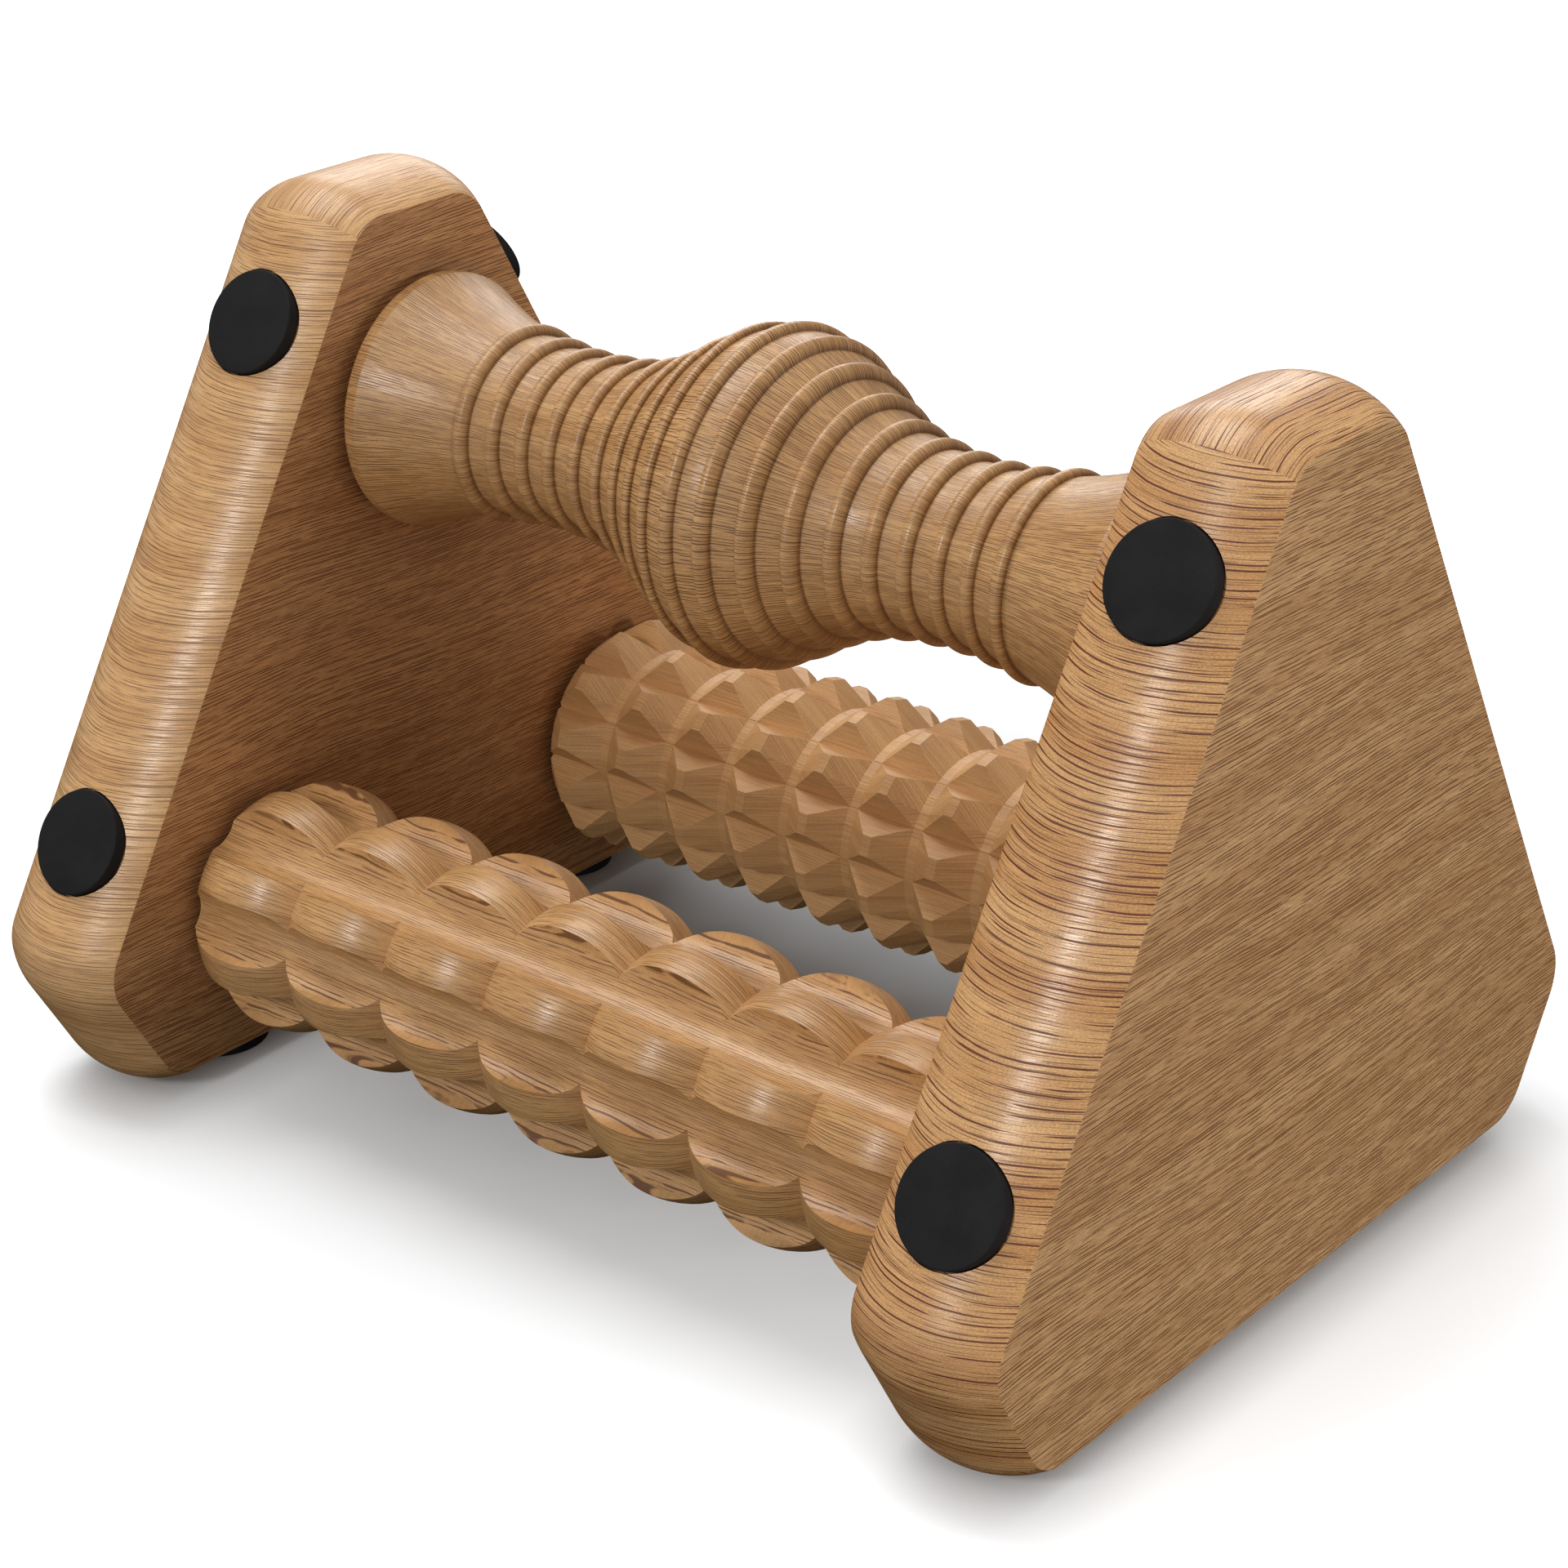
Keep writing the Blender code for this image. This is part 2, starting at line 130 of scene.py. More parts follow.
ROUND_STEPS = 128
SMALL_STEPS = 64
CUTTER_STEPS = 72
CUTTER_REACH = 1.2 * ROLLER_HALF
SMOOTH_ANGLE = math.radians(25)
FACET_ANGLE = math.radians(4)
END_FACE = 0.9                  # how squarely a roller's face has to look along X to count as its end

INNER_FACE = PANEL_GAP / 2
INRADIUS = (LONG_SIDE + 2 * SHORT_SIDE) / (2 * math.sqrt(3))
CENTRE_HEIGHT = INRADIUS + CROWN_HEIGHT + FOOT_PROUD

# Outward directions from the panels' middle, measured from +Y about +X, and the names of what lies there.
SIDE_ANGLES = {"bottom": math.radians(-90), "front": math.radians(150), "rear": math.radians(30)}
FOOT_PLACES = {"bottom": {-1: "front", 1: "rear"},
               "front": {-1: "upper", 1: "lower"},
               "rear": {-1: "lower", 1: "upper"}}
AXLE_ANGLES = {"top": math.radians(90), "front": math.radians(210), "rear": math.radians(-30)}
SIDES = {"left": -1, "right": 1}
ALONG_X = Vector((1.0, 0.0, 0.0))


# ---------------------------------------------------------------- shapes

def toward(angle):
    """Unit direction in the YZ plane, measured from +Y about +X."""
    return Vector((0.0, math.cos(angle), math.sin(angle)))


def centre_at(x):
    return Vector((x, 0.0, CENTRE_HEIGHT))


def axle_point(place, x=0.0):
    return centre_at(x) + toward(AXLE_ANGLES[place]) * AXIS_RADIUS


def loft(rows, joined=False):
    """Skin a list of closed rows of points. The ends are capped, or joined to each other."""
    shape = bmesh.new()
    made = [[shape.verts.new(point) for point in row] for row in rows]
    pairs = list(zip(made, made[1:]))
    if joined:
        pairs.append((made[-1], made[0]))
    for lower, upper in pairs:
        for count in range(len(lower)):
            after = (count + 1) % len(lower)
            shape.faces.new((lower[count], lower[after], upper[after], upper[count]))
    if not joined:
        shape.faces.new(made[0])
        shape.faces.new(made[-1])
    bmesh.ops.recalc_face_normals(shape, faces=shape.faces[:])
    return shape


def turned(profile, steps, origin, direction, turn=0.0, joined=False):
    """Skin a profile of (height, radius) turned about a line from origin along direction."""
    if abs(direction.x) > 0.5:
        first = toward(turn)
        second = toward(turn + math.pi / 2)
    else:
        first = ALONG_X
        second = direction.cross(first)
    rows = []
    for height, radius in profile:
        row = []
        for count in range(steps):
            angle = 2 * math.pi * count / steps
            around = first * math.cos(angle) + second * math.sin(angle)
            row.append(origin + direction * height + around * radius)
        rows.append(row)
    return loft(rows, joined)


def mesh_object(name, shape):
    mesh = bpy.data.meshes.new(name)
    shape.to_mesh(mesh)
    shape.free()
    thing = bpy.data.objects.new(name, mesh)
    bpy.context.scene.collection.objects.link(thing)
    return thing


def cut_with(thing, shapes):
    """Cut a piece with every shape in turn, all at once, and keep the result as its mesh."""
    group = bpy.data.collections.new(thing.name + "_cutters")
    cutters = []
    for count, shape in enumerate(shapes):
        cutter = mesh_object(f"{thing.name}_cutter_{count}", shape)
        group.objects.link(cutter)
        cutters.append(cutter)
    boolean = thing.modifiers.new("cut", "BOOLEAN")
    boolean.operation = "DIFFERENCE"
    boolean.solver = "EXACT"
    boolean.operand_type = "COLLECTION"
    boolean.collection = group
    bpy.context.view_layer.update()
    depsgraph = bpy.context.evaluated_depsgraph_get()
    mesh = bpy.data.meshes.new_from_object(thing.evaluated_get(depsgraph))
    thing.modifiers.clear()
    thing.data = mesh
    for cutter in cutters:
        bpy.data.objects.remove(cutter, do_unlink=True)
    bpy.data.collections.remove(group)


def corner_centre(first, second):
    """Centre of the fillet between two sides, each (outward angle, distance)."""
    turn = second[0] - first[0]
    near = first[1] - CORNER_RADIUS
    far = second[1] - CORNER_RADIUS
    side = (far - near * math.cos(turn)) / math.sin(turn)
    return toward(first[0]) * near + toward(first[0] + math.pi / 2) * side


def outline(offset, origin):
    """The panel's filleted hexagon about its centre, grown by offset."""
    short_distance = (2 * LONG_SIDE + SHORT_SIDE) / (2 * math.sqrt(3))
    distances = (INRADIUS, short_distance)
    points = []
    for count in range(6):
        angle = math.radians(30 + 60 * count)
        first = (angle, distances[count % 2])
        second = (angle + math.radians(60), distances[(count + 1) % 2])
        centre = corner_centre(first, second)
        for step in range(CORNER_STEPS + 1):
            direction = toward(angle + math.radians(60) * step / CORNER_STEPS)
            points.append(origin + centre + direction * (CORNER_RADIUS + offset))
    return points


def crown_profile():
    """(across, offset) over the panel's edge: a round crown that ends in a small rounding."""
    half = PANEL_THICKNESS / 2
    radius = (half ** 2 + CROWN_HEIGHT ** 2) / (2 * CROWN_HEIGHT)
    middle = CROWN_HEIGHT - radius
    small_x = half - EDGE_ROUND
    small_y = middle + math.sqrt((radius - EDGE_ROUND) ** 2 - small_x ** 2)
    meet = math.atan2(small_x, small_y - middle)
    points = []
    for step in range(CROWN_STEPS // 2 + 1):
        angle = meet * step / (CROWN_STEPS // 2)
        points.append((radius * math.sin(angle), middle + radius * math.cos(angle)))
    for step in range(1, EDGE_STEPS + 1):
        angle = meet + (math.pi / 2 - meet) * step / EDGE_STEPS
        points.append((small_x + EDGE_ROUND * math.sin(angle), small_y + EDGE_ROUND * math.cos(angle)))
    return [(-across, offset) for across, offset in reversed(points[1:])] + points


def foot_point(side, place, along_side):
    """Middle of a foot's outer face. along_side is -1 or 1, the two feet of one long side."""
    outward = toward(SIDE_ANGLES[place])
    tangent = toward(SIDE_ANGLES[place] + math.pi / 2)
    middle = centre_at(side * (INNER_FACE + PANEL_THICKNESS / 2))
    reach = INRADIUS + CROWN_HEIGHT + FOOT_PROUD
    return middle + outward * reach + tangent * (along_side * (LONG_SIDE / 2 - FOOT_FROM_CORNER))


def panel(name, side):
    middle = side * (INNER_FACE + PANEL_THICKNESS / 2)
    rows = [outline(offset, centre_at(middle + across)) for across, offset in crown_profile()]
    thing = mesh_object(name, loft(rows))
    seat_radius = FOOT_RADIUS + TOUCH_GAP
    seat_depth = FOOT_THICKNESS + TOUCH_GAP
    hole_radius = STEM_RADIUS + TOUCH_GAP
    hole_depth = seat_depth + STEM_LENGTH
    seat = [(2 * CROWN_HEIGHT, seat_radius), (-seat_depth, seat_radius),
            (-seat_depth, hole_radius), (-hole_depth, hole_radius)]
    hole_half = AXLE_IN_PANEL + TOUCH_GAP
    hole = [(hole_half, AXLE_RADIUS + TOUCH_GAP), (-hole_half, AXLE_RADIUS + TOUCH_GAP)]
    cutters = []
    for place, angle in SIDE_ANGLES.items():
        for along_side in (-1, 1):
            face = foot_point(side, place, along_side)
            cutters.append(turned(seat, CUTTER_STEPS, face, toward(angle)))
    for place in AXLE_ANGLES:
        mouth = axle_point(place, side * INNER_FACE)
        cutters.append(turned(hole, CUTTER_STEPS, mouth, ALONG_X))
    cut_with(thing, cutters)
    return thing


def foot(name, side, place, along_side):
    profile = []
    for step in range(FOOT_EDGE_STEPS + 1):
        angle = math.pi / 2 * step / FOOT_EDGE_STEPS
        height = FOOT_EDGE * (math.cos(angle) - 1)
        profile.append((height, FOOT_RADIUS - FOOT_EDGE * (1 - math.sin(angle))))
    stem_end = -FOOT_THICKNESS - STEM_LENGTH
    profile += [(-FOOT_THICKNESS, FOOT_RADIUS), (-FOOT_THICKNESS, STEM_RADIUS), (stem_end, STEM_RADIUS)]
    face = foot_point(side, place, along_side)
    return mesh_object(name, turned(profile, SMALL_STEPS, face, toward(SIDE_ANGLES[place])))


def roller_bore():
    """The bore's profile, from the -X end to the +X end: a seat for a bush, a bore, another seat."""
    seat_radius = BUSH_RADIUS + TOUCH_GAP
    seat_end = ROLLER_HALF - BUSH_LENGTH - TOUCH_GAP
    return [(-ROLLER_HALF, seat_radius), (-seat_end, seat_radius), (-seat_end, BORE_RADIUS),
            (seat_end, BORE_RADIUS), (seat_end, seat_radius), (ROLLER_HALF, seat_radius)]


def roller(name, place, profile, steps, turn):
    closed = profile + roller_bore()
    return mesh_object(name, turned(closed, steps, axle_point(place), ALONG_X, turn, joined=True))


def top_radius(along_roller):
    """Radius of the top roller without its beads: a waist, a belly in the middle, flared ends."""
    distance = abs(along_roller)
    belly = TOP_BELLY * math.exp(-(distance / TOP_BELLY_WIDTH) ** 2)
    flare_end = ROLLER_HALF - TOP_CHAMFER - TOP_RIM_WIDTH
    flare = TOP_FLARE * (max(0.0, distance - TOP_FLARE_START) / (flare_end - TOP_FLARE_START)) ** 2
    return TOP_WAIST + belly + min(flare, TOP_FLARE)


def top_profile():
    """From the +X end: rounded rim, flare, then a small round bead every pitch."""
    rim_radius = top_radius(ROLLER_HALF)
    rim_end = ROLLER_HALF - TOP_CHAMFER
    end = []
    for step in range(RIM_STEPS + 1):
        angle = math.pi / 2 * step / RIM_STEPS
        place = rim_end + TOP_CHAMFER * math.cos(angle)
        end.append((place, rim_radius - TOP_CHAMFER * (1 - math.sin(angle))))
    flare_start = rim_end - TOP_RIM_WIDTH
    last_ring = (RING_COUNT - 1) / 2 * RING_PITCH + RING_WIDTH / 2
    for step in range(FLARE_STEPS):
        place = flare_start + (last_ring - flare_start) * step / FLARE_STEPS
        end.append((place, top_radius(place)))
    points = list(end)
    arc_radius = ((RING_WIDTH / 2) ** 2 + RING_HEIGHT ** 2) / (2 * RING_HEIGHT)
    arc_half = math.asin(min(1.0, RING_WIDTH / 2 / arc_radius))
    for count in range(RING_COUNT):
        middle = ((RING_COUNT - 1) / 2 - count) * RING_PITCH
        for step in range(RING_STEPS + 1):
            angle = arc_half * (1 - 2 * step / RING_STEPS)
            place = middle + arc_radius * math.sin(angle)
            rise = arc_radius * math.cos(angle) - (arc_radius - RING_HEIGHT)
            points.append((place, top_radius(place) + rise))
        if count < RING_COUNT - 1:
            for share in LAND_SHARES:
                place = middle - RING_WIDTH / 2 - (RING_PITCH - RING_WIDTH) * share
                points.append((place, top_radius(place)))
    return points + [(-place, radius) for place, radius in reversed(end)]


def bead_profile():
    """Barrel beads, each a circular arc between two valleys, cut off at the roller's ends."""
    rise = BEAD_RADIUS - BEAD_VALLEY
    arc_radius = ((BEAD_PITCH / 2) ** 2 + rise ** 2) / (2 * rise)
    points = []
    for count in range(BEAD_COUNT):
        middle = ((BEAD_COUNT - 1) / 2 - count) * BEAD_PITCH
        start = min(BEAD_PITCH / 2, ROLLER_HALF - middle)
        end = max(-BEAD_PITCH / 2, -ROLLER_HALF - middle)
        for step in range(BEAD_STEPS + 1):
            if step == 0 and count > 0:
                continue
            offset = start + (end - start) * step / BEAD_STEPS
            drop = arc_radius - math.sqrt(arc_radius ** 2 - offset ** 2)
            points.append((middle + offset, BEAD_RADIUS - drop))
    return points


def stud_profile():
    """Rings with a flat top, sloping flanks and a flat floor between them, cut off at the ends."""
    points = []
    for count in range(STUD_RINGS):
        middle = ((STUD_RINGS - 1) / 2 - count) * STUD_PITCH
        base = (STUD_PITCH - STUD_FLOOR) / 2
        points += [(middle + base, STUD_VALLEY), (middle + STUD_LAND / 2, STUD_RADIUS),
                   (middle - STUD_LAND / 2, STUD_RADIUS), (middle - base, STUD_VALLEY)]
    slope = (STUD_RADIUS - STUD_VALLEY) / ((STUD_PITCH - STUD_FLOOR - STUD_LAND) / 2)
    end_radius = STUD_VALLEY + slope * max(0.0, points[0][0] - ROLLER_HALF)
    return [(ROLLER_HALF, end_radius)] + points[1:-1] + [(-ROLLER_HALF, end_radius)]


def flutes():
    """Round cutters along the front roller, halfway between its ribs."""
    profile = [(CUTTER_REACH, FLUTE_RADIUS), (-CUTTER_REACH, FLUTE_RADIUS)]
    shapes = []
    for count in range(FLUTE_COUNT):
        angle = FLUTE_TURN + 2 * math.pi / FLUTE_COUNT * (count + 0.5)
        origin = axle_point("front") + toward(angle) * FLUTE_CENTRE
        shapes.append(turned(profile, CUTTER_STEPS, origin, ALONG_X, angle))
    return shapes


def grooves():
    """V-shaped bars along the rear roller, whose lower edges lie under the floor between the rings."""
    edge_out = STUD_RADIUS * math.cos(STUD_TOP_ANGLE)
    edge_side = STUD_RADIUS * math.sin(STUD_TOP_ANGLE)
    bottom = STUD_VALLEY - GROOVE_BELOW_FLOOR
    far = bottom + 2 * (edge_out - bottom)
    shapes = []
    for count in range(STUDS_AROUND):
        angle = STUD_TURN + 2 * math.pi * count / STUDS_AROUND
        outward = toward(angle)
        sideways = toward(angle + math.pi / 2)
        rows = []
        for x in (-CUTTER_REACH, CUTTER_REACH):
            row = []
            for out, side in ((bottom, 0.0), (far, 2 * edge_side), (far, -2 * edge_side)):
                row.append(axle_point("rear", x) + outward * out + sideways * side)
            rows.append(row)
        shapes.append(loft(rows))
    return shapes


def axle(name, place):
    half = INNER_FACE + AXLE_IN_PANEL
    profile = [(half, AXLE_RADIUS - AXLE_CHAMFER), (half - AXLE_CHAMFER, AXLE_RADIUS)]
    profile += [(-height, radius) for height, radius in reversed(profile)]
    return mesh_object(name, turned(profile, SMALL_STEPS, axle_point(place), ALONG_X))


def sleeve(name, place, side, profile):
    """Turn a closed profile about an axle. Its heights are measured towards the given side."""
    turned_out = [(height * side, radius) for height, radius in profile]
    return mesh_object(name, turned(turned_out, SMALL_STEPS, axle_point(place), ALONG_X, joined=True))


def bush(name, place, side):
    """A flanged sleeve in the roller's end."""
    top = ROLLER_HALF + TOUCH_GAP + FLANGE_THICKNESS
    flange = ROLLER_HALF + TOUCH_GAP
    inner = ROLLER_HALF - BUSH_LENGTH
    bore = AXLE_RADIUS + RUNNING_GAP
    profile = [(top, FLANGE_RADIUS - SMALL_ROUND), (top - SMALL_ROUND, FLANGE_RADIUS),
               (flange + SMALL_ROUND, FLANGE_RADIUS), (flange, FLANGE_RADIUS - SMALL_ROUND),
               (flange, BUSH_RADIUS), (inner, BUSH_RADIUS), (inner, bore), (top, bore)]
    return sleeve(name, place, side, profile)


def washer(name, place, side):
    """A flat ring between a bush's flange and the panel."""
    outer = INNER_FACE - TOUCH_GAP
    inner = ROLLER_HALF + FLANGE_THICKNESS + 2 * TOUCH_GAP
    bore = AXLE_RADIUS + RUNNING_GAP
    profile = [(outer, WASHER_RADIUS - SMALL_ROUND), (outer - SMALL_ROUND, WASHER_RADIUS),
               (inner + SMALL_ROUND, WASHER_RADIUS), (inner, WASHER_RADIUS - SMALL_ROUND),
               (inner, bore), (outer, bore)]
    return sleeve(name, place, side, profile)


# ---------------------------------------------------------------- how the grain lies on each piece

def corner_arrays(mesh):
    """Each face corner's position in mm and its face's normal, and how many corners each face has."""
    points = np.zeros(len(mesh.vertices) * 3)
    mesh.vertices.foreach_get("co", points)
    which = np.zeros(len(mesh.loops), int)
    mesh.loops.foreach_get("vertex_index", which)
    normals = np.zeros(len(mesh.polygons) * 3)
    mesh.polygons.foreach_get("normal", normals)
    counts = np.zeros(len(mesh.polygons), int)
    mesh.polygons.foreach_get("loop_total", counts)
    corners = points.reshape(-1, 3)[which] / MM
    return corners, np.repeat(normals.reshape(-1, 3), counts, axis=0), counts


def store_grain(mesh, along, across, painted_shade=0.0):
    """Keep each face corner's place along and across the grain, in mm, and how dark the painted shade at a
    bead's foot makes it.
    """
    values = np.zeros((len(mesh.loops), 3))
    values[:, 0] = along
    values[:, 1] = across
    values[:, 2] = painted_shade
    mesh.attributes.new("grain", "FLOAT_VECTOR", "CORNER").data.foreach_set("vector", values.ravel())


def main_axis(normals):
    """Which of its columns each normal is longest in: 0 for the first."""
    return np.argmax(np.abs(normals), axis=1)


def panel_grain(mesh, shift):
    """Flat faces run along Y, front and rear edges across the panel, top and bottom along Y.

    The added distances give each side its own stretch of grain.
    """
    corners, normals, counts = corner_arrays(mesh)
    axis = main_axis(normals)
    x, y, z = corners.T
    face = y + 900.0 * (normals[:, 0] > 0)
    along = np.select([axis == 0, axis == 1], [face, x + 400.0], y + 1700.0)
    across = np.select([axis == 0, axis == 1], [z, z], x + 300.0)
    store_grain(mesh, along + shift, across + shift)
    return axis, counts


def roller_grain(mesh, shift, axle_at):
    """Grain along the roller, laid on flat: from in front or above, and on its ends from the side."""
    corners, normals, _ = corner_arrays(mesh)
    axis = np.where(np.abs(normals[:, 0]) > END_FACE, 0, 1 + main_axis(normals[:, 1:]))
    x, y, z = corners.T
    y = y - axle_at.y / MM
    z = z - axle_at.z / MM
    along = np.where(axis == 0, y + 600.0, x + 300.0 * (axis == 2))
    across = np.select([axis == 0, axis == 1], [z, z + 80.0 * (normals[:, 1] > 0)], y + 200.0)
    store_grain(mesh, along + shift, across + shift)


def painted_ring_shade(along_roller):
    """How dark the painted shade at the foot of the top roller's small beads is."""
    reach = (RING_COUNT - 1) / 2 * RING_PITCH + RING_WIDTH / 2 + PAINTED_SHADE_REACH
    place = (along_roller + RING_PITCH * RING_COUNT / 2) % RING_PITCH - RING_PITCH / 2
    from_base = np.abs(np.abs(place) - RING_WIDTH / 2)
    shade = PAINTED_SHADE_DARKNESS * np.clip(1 - from_base / PAINTED_SHADE_REACH, 0, 1)
    return shade * (np.abs(along_roller) < reach)


def wrapped_grain(mesh, shift, axle_at, radius, ringed=False):
    """Grain along the roller, wrapped round it. The join is underneath."""
    corners, _, counts = corner_arrays(mesh)
    starts = np.repeat(np.cumsum(counts) - counts, counts)
    angle = np.arctan2(corners[:, 1] - axle_at.y / MM, corners[:, 2] - axle_at.z / MM)
    first = angle[starts]
    angle = np.where(angle - first > math.pi, angle - 2 * math.pi, angle)
    angle = np.where(angle - first < -math.pi, angle + 2 * math.pi, angle)
    # on the ringed top roller, painted shade darkens the foot of each small bead
    painted_shade = painted_ring_shade(corners[:, 0] * MM) if ringed else 0.0
    store_grain(mesh, corners[:, 0] + shift, angle * radius / MM + shift, painted_shade)


# ---------------------------------------------------------------- materials

def srgb(red, green, blue):
    """A colour from its screen values, 0 to 255."""
    values = []
    for value in (red, green, blue):
        value = value / 255
        values.append(value / 12.92 if value <= 0.04045 else ((value + 0.055) / 1.055) ** 2.4)
    return (*values, 1.0)


class Nodes:
    """A new material and short calls for adding nodes to it."""

    def __init__(self, name):
        self.material = bpy.data.materials.new(name)
        self.material.use_nodes = True
        self.tree = self.material.node_tree
        self.shader = self.tree.nodes["Principled BSDF"]

    def add(self, kind, inputs=(), **settings):
        """Add a node. Each input is a value or another node's output."""
        made = self.tree.nodes.new("ShaderNode" + kind)
        for key, value in settings.items():
            setattr(made, key, value)
        self.fill(made, dict(inputs))
        return made

    def fill(self, made, inputs):
        for key, value in inputs.items():
            if isinstance(value, bpy.types.NodeSocket):
                self.tree.links.new(value, made.inputs[key])
            else:
                made.inputs[key].default_value = value

    def maths(self, operation, first, second=0.0, third=0.0):
        return self.add("Math", {0: first, 1: second, 2: third}, operation=operation).outputs[0]

    def ramp(self, value, low, high, start=0.0, end=1.0):
        """Go smoothly from start to end while the value goes from low to high."""
        inputs = {"Value": value, "From Min": low, "From Max": high, "To Min": start, "To Max": end}
        return self.add("MapRange", inputs, interpolation_type="SMOOTHSTEP").outputs[0]

    def mix(self, share, first, second, blend="MIX"):
        made = self.add("Mix", {0: share, 6: first, 7: second}, data_type="RGBA", blend_type=blend)
        return made.outputs[2]

    def point(self, first, second, third=0.0):
        return self.add("CombineXYZ", {0: first, 1: second, 2: third}).outputs[0]

    def noise(self, where, detail=1.0, scale=1.0, dimensions="2D"):
        inputs = {"Vector": where, "Scale": scale, "Detail": detail, "Roughness": 0.55}
        return self.add("TexNoise", inputs, noise_dimensions=dimensions).outputs[0]


# Fine waviness that all the oak has, in mm.
TREMOR = 0.3
TREMOR_LENGTH = 9.0
TREMOR_WIDTH = 3.0

# Where a line may lie in its strip, as shares of the strip: the lowest share, and how far it varies.
LINE_START = 0.2
LINE_PLAY = 0.6

# Distances between two strips in the noise that breaks their lines: along the grain and across it.
BREAK_ALONG = 90.0
BREAK_ACROSS = 3.7

LINE_SOFTNESS = 0.05    # how far a line's edge fades out, in mm
FINE_SEED = 31.4
STREAK_SEED = 77.7


class Grain:
    """Wood grain read from a piece's grain values, with lines that wander a little."""

    def __init__(self, nodes, wave, wave_length, wave_width):
        self.nodes = nodes
        place = nodes.add("Attribute", attribute_name="grain").outputs["Vector"]
        split = nodes.add("SeparateXYZ", {0: place})
        self.along = split.outputs[0]
        self.across = split.outputs[1]
        # the third value is painted shade at the foot of the top roller's small beads
        self.painted_shade = split.outputs[2]
        self.bend(wave, wave_length, wave_width)
        self.bend(TREMOR, TREMOR_LENGTH, TREMOR_WIDTH)

    def noise(self, length, width, detail=1.0):
        """Noise in patches of a length and width in mm."""
        along = self.nodes.maths("DIVIDE", self.along, length)
        across = self.nodes.maths("DIVIDE", self.across, width)
        return self.nodes.noise(self.nodes.point(along, across), detail)

    def bend(self, amount, length, width):
        """Let the grain wander sideways by up to half an amount each way."""
        wander = self.nodes.maths("SUBTRACT", self.noise(length, width), 0.5)
        self.across = self.nodes.maths("MULTIPLY_ADD", wander, amount, self.across)

    def lines(self, spacing, thick, length, gaps, seed=0.0):
        """Dark lines along the grain, one somewhere in each strip, that thin out into gaps."""
        nodes = self.nodes
        strips = nodes.maths("MULTIPLY_ADD", self.across, 1.0 / spacing, seed)
        strip = nodes.maths("FLOOR", strips)
        chance = nodes.add("TexWhiteNoise", {"W": strip}, noise_dimensions="1D").outputs["Value"]
        middle = nodes.maths("MULTIPLY_ADD", chance, LINE_PLAY, LINE_START)
        away = nodes.maths("ABSOLUTE", nodes.maths("SUBTRACT", nodes.maths("FRACT", strips), middle))
        away = nodes.maths("MULTIPLY", away, spacing)
        along = nodes.maths("DIVIDE", self.along, length)
        along = nodes.maths("MULTIPLY_ADD", chance, BREAK_ALONG, along)
        breaks = nodes.noise(nodes.point(along, nodes.maths("MULTIPLY", strip, BREAK_ACROSS)), 2.0)
        reach = nodes.ramp(breaks, gaps - 0.12, gaps + 0.16, 0.0, thick / 2)
        return nodes.ramp(nodes.maths("SUBTRACT", reach, away), 0.0, LINE_SOFTNESS)


def oak(name, style):
    """Oiled oak: bands, fine fibres, dark pores and, where its style says so, long dark streaks.

    A style gives its lengths, widths and spacings in mm.
    """
    nodes = Nodes(name)
    grain = Grain(nodes, style["wave"], style["wave_length"], style["wave_width"])
    band = nodes.ramp(grain.noise(160.0, 7.0, 2.0), 0.3, 0.7)
    colour = nodes.mix(band, style["light"], style["dark"])
    fibre = grain.noise(14.0, 0.28, 3.0)
    lift = nodes.ramp(fibre, 0.25, 0.75, 1.0 - style["fibre"], 1.0 + style["fibre"])
    speck = grain.noise(0.4, 0.22, 2.0)
    speck = nodes.ramp(speck, 0.25, 0.75, 1.0 - style["speck"], 1.0 + style["speck"])
    lift = nodes.maths("MULTIPLY", lift, speck)
    colour = nodes.mix(1.0, colour, nodes.point(lift, lift, lift), "MULTIPLY")
    space = style["pore_space"]
    thick = style["pore_thick"]
    length = style["pore_length"]
    pores = grain.lines(space, thick, length, style["pore_gaps"])
    fine = grain.lines(space * 0.52, thick * 0.6, length * 0.5, style["pore_gaps"], FINE_SEED)
    marks = nodes.maths("MAXIMUM", pores, nodes.maths("MULTIPLY", fine, 0.65))
    colour = nodes.mix(nodes.maths("MULTIPLY", marks, style["pore_depth"]), colour, style["pore"])
    depth = nodes.maths("MULTIPLY", marks, 0.6)
    if style["streak"]:
        streaks = grain.lines(style["streak_space"], style["streak_thick"], style["streak_length"],
                              style["streak_gaps"], STREAK_SEED)
        colour = nodes.mix(nodes.maths("MULTIPLY", streaks, style["streak"]), colour, srgb(100, 36, 10))
        depth = nodes.maths("MAXIMUM", depth, streaks)
    # painted shade: darker colour at the foot of the top roller's small beads
    colour = nodes.mix(grain.painted_shade, colour, srgb(58, 30, 14))
    height = nodes.maths("MULTIPLY_ADD", fibre, 0.5, nodes.maths("MULTIPLY", depth, -0.9))
    bump = nodes.add("Bump", {"Strength": 0.5, "Distance": 0.05 * MM, "Height": height})
    rough = nodes.ramp(fibre, 0.2, 0.8, style["roughness"], style["roughness"] + 0.16)
    rough = nodes.maths("MULTIPLY_ADD", depth, 0.22, rough)
    nodes.fill(nodes.shader, {"Base Color": colour, "Roughness": rough, "Normal": bump.outputs[0],
                              "IOR": 1.5, "Specular IOR Level": 0.65})
    return nodes.material


